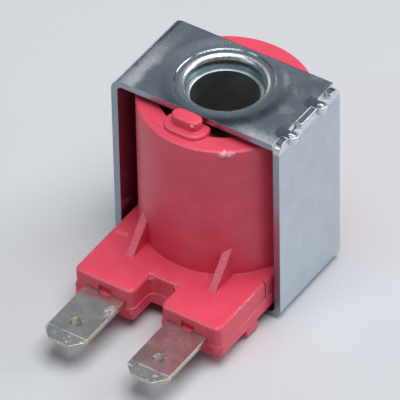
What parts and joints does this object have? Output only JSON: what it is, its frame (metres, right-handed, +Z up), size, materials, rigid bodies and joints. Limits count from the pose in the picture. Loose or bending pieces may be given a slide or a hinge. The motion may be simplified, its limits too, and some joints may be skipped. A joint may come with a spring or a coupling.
{
  "type": "washing machine valve coil",
  "caption": "Solenoid coil for a washing machine inlet valve: moulded pink body with push-on tabs, held in a bent steel yoke whose bore takes the valve's armature tube.",
  "frame": {"origin": "on the bore axis, in the plane of the yoke's bottom face", "axes": "+Z up along the bore axis to the face with the lug, -Y towards the tabs, +X to the right as seen from the tabs"},
  "size_m": [0.0282, 0.043, 0.031],
  "materials": {
    "plated_steel": "bright zinc plating",
    "sleeve_steel": "plain",
    "pink_plastic": "satin",
    "brown_plastic": "matte",
    "copper_wire": "enamelled copper",
    "wrap_tape": "film",
    "tinned_brass": "tin plated",
    "solder": "bright"
  },
  "bodies": {
    "root": {"upper_yoke": "plated_steel", "lower_yoke": "plated_steel", "upper_sleeve": "sleeve_steel", "lower_sleeve": "sleeve_steel", "overmould": "pink_plastic", "bobbin": "brown_plastic", "winding": "copper_wire", "winding_tape": "wrap_tape", "left_terminal": "tinned_brass", "right_terminal": "tinned_brass", "start_lead": "copper_wire", "finish_lead": "copper_wire", "left_solder_joint": "solder", "right_solder_joint": "solder"}
  },
  "joints": []
}
